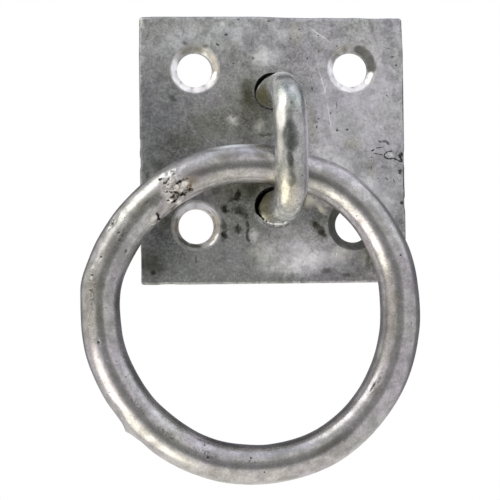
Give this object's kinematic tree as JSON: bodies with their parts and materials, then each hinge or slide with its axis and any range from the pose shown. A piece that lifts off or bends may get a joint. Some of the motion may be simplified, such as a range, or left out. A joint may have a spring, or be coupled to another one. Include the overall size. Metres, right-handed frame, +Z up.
{
  "type": "ring on plate",
  "caption": "Round steel tie ring that swings in a wire staple riveted through a small square plate with countersunk screw holes.",
  "frame": {"origin": "middle of the screw holes, on the plate's back face", "axes": "+Y out of the back of the plate, into what it is screwed to; +Z up, towards the plate's top edge; +X to the right, seen from the front"},
  "size_m": [0.0634, 0.0201, 0.0884],
  "materials": {
    "plate_zinc": "hot-dip galvanised sheet steel, dull and mottled, with stains and pits",
    "staple_zinc": "hot-dip galvanised wire, semi-bright",
    "ring_zinc": "hot-dip galvanised wire, uneven zinc with fine dark pits, rough rusty butt weld"
  },
  "bodies": {
    "plate": {"mounting_plate": "plate_zinc", "staple": "staple_zinc"},
    "ring": {"ring": "ring_zinc"}
  },
  "joints": [
    {"name": "ring_swing", "type": "hinge", "parent": "plate", "child": "ring", "pos_m": [0.00047, -0.00843, -0.00421], "axis": [-1, 0, 0], "range_deg": [-4, 180]}
  ]
}
